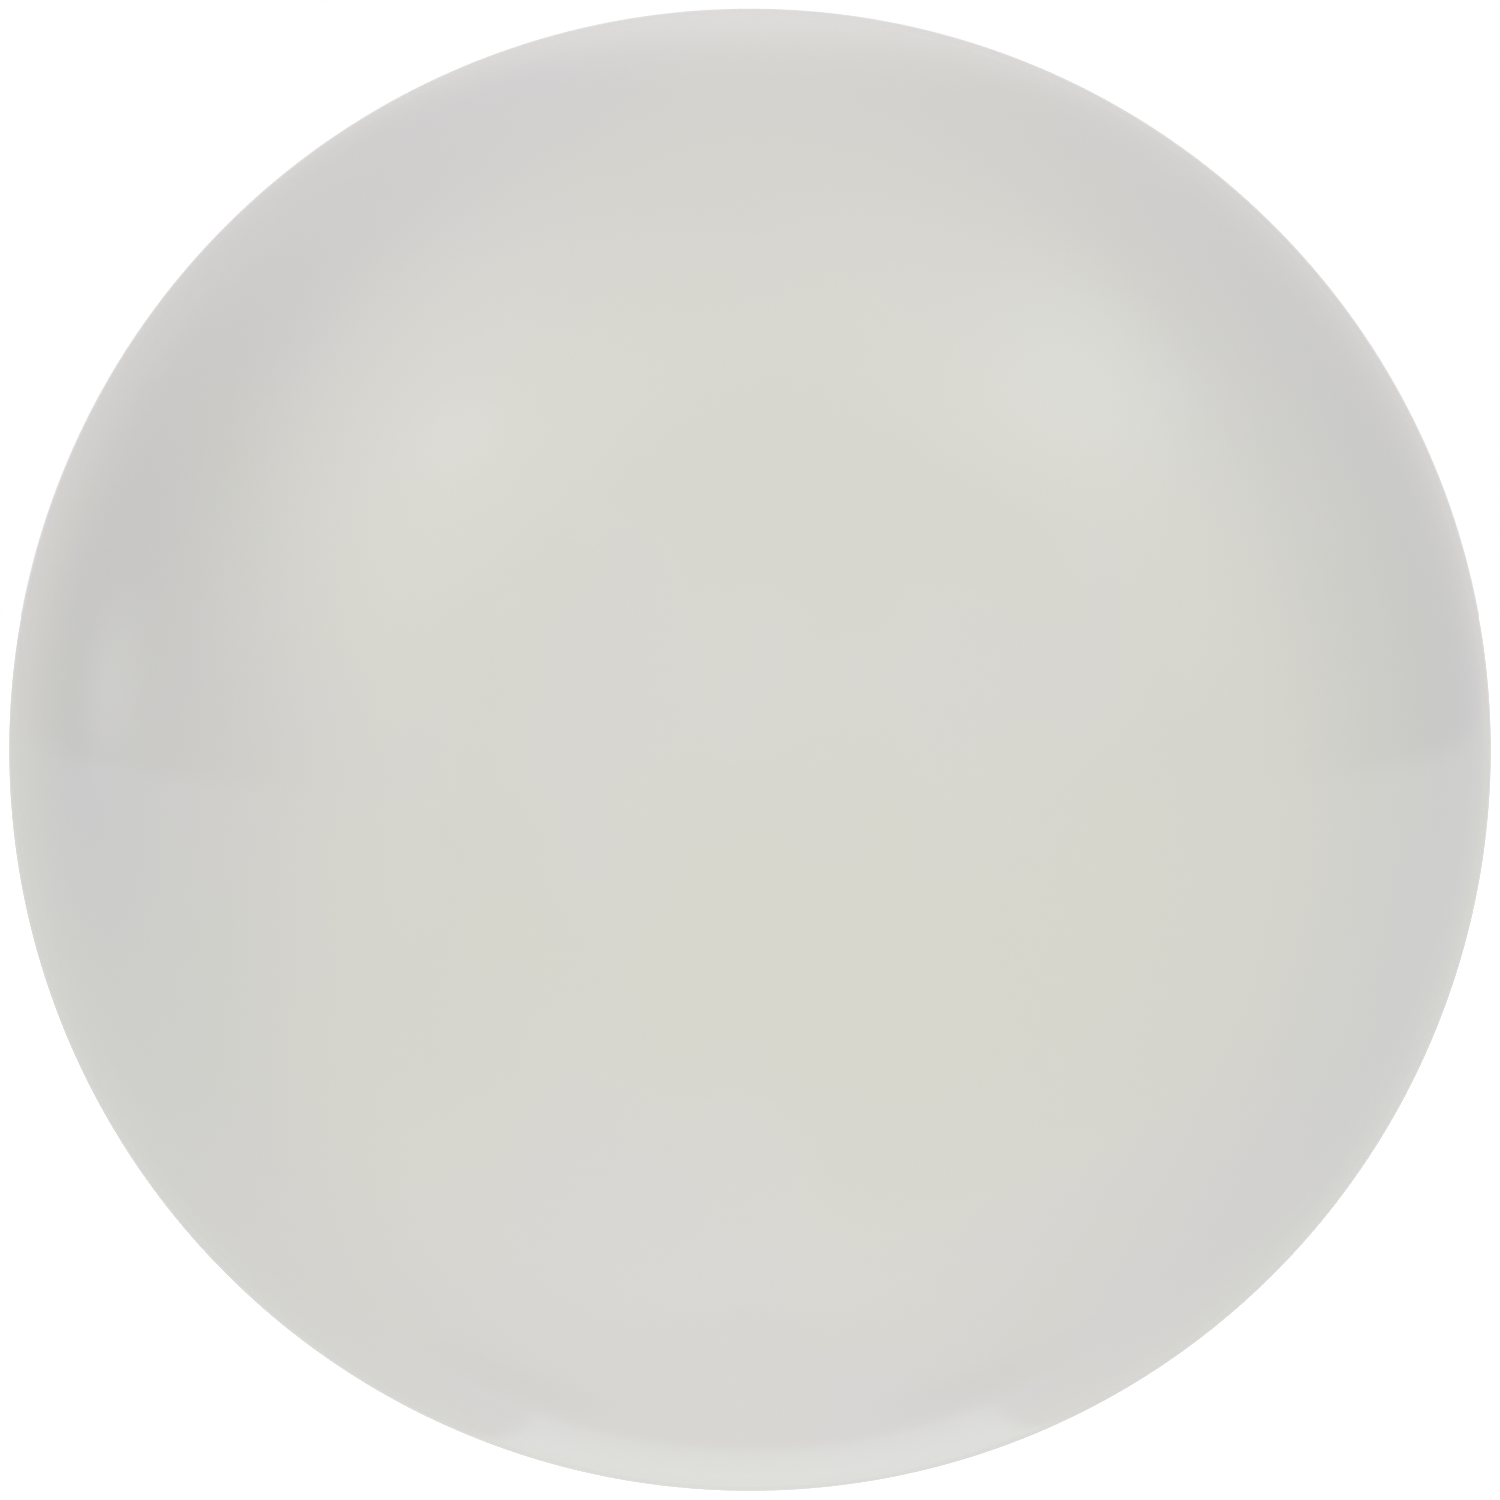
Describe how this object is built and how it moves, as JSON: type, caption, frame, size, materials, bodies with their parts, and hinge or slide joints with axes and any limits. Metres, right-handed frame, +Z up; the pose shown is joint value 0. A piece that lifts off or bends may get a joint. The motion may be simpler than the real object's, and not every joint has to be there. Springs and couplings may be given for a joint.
{
  "type": "cue ball",
  "caption": "Plain, unmarked white cue ball: a solid sphere of polished cast resin, struck with a cue to drive the other balls on a pool table.",
  "frame": {"origin": "the centre of the ball, about which it rolls and spins; the lowest point of the ball is one radius, 28.575 mm, below it", "axes": "+Z up; the ball is the same about every axis through its centre, so X and Y are free, and -Z points at the cloth that it rests on"},
  "size_m": [0.0572, 0.0572, 0.0572],
  "materials": {
    "cast_resin": "polished"
  },
  "bodies": {
    "root": {"ball": "cast_resin"}
  },
  "joints": []
}
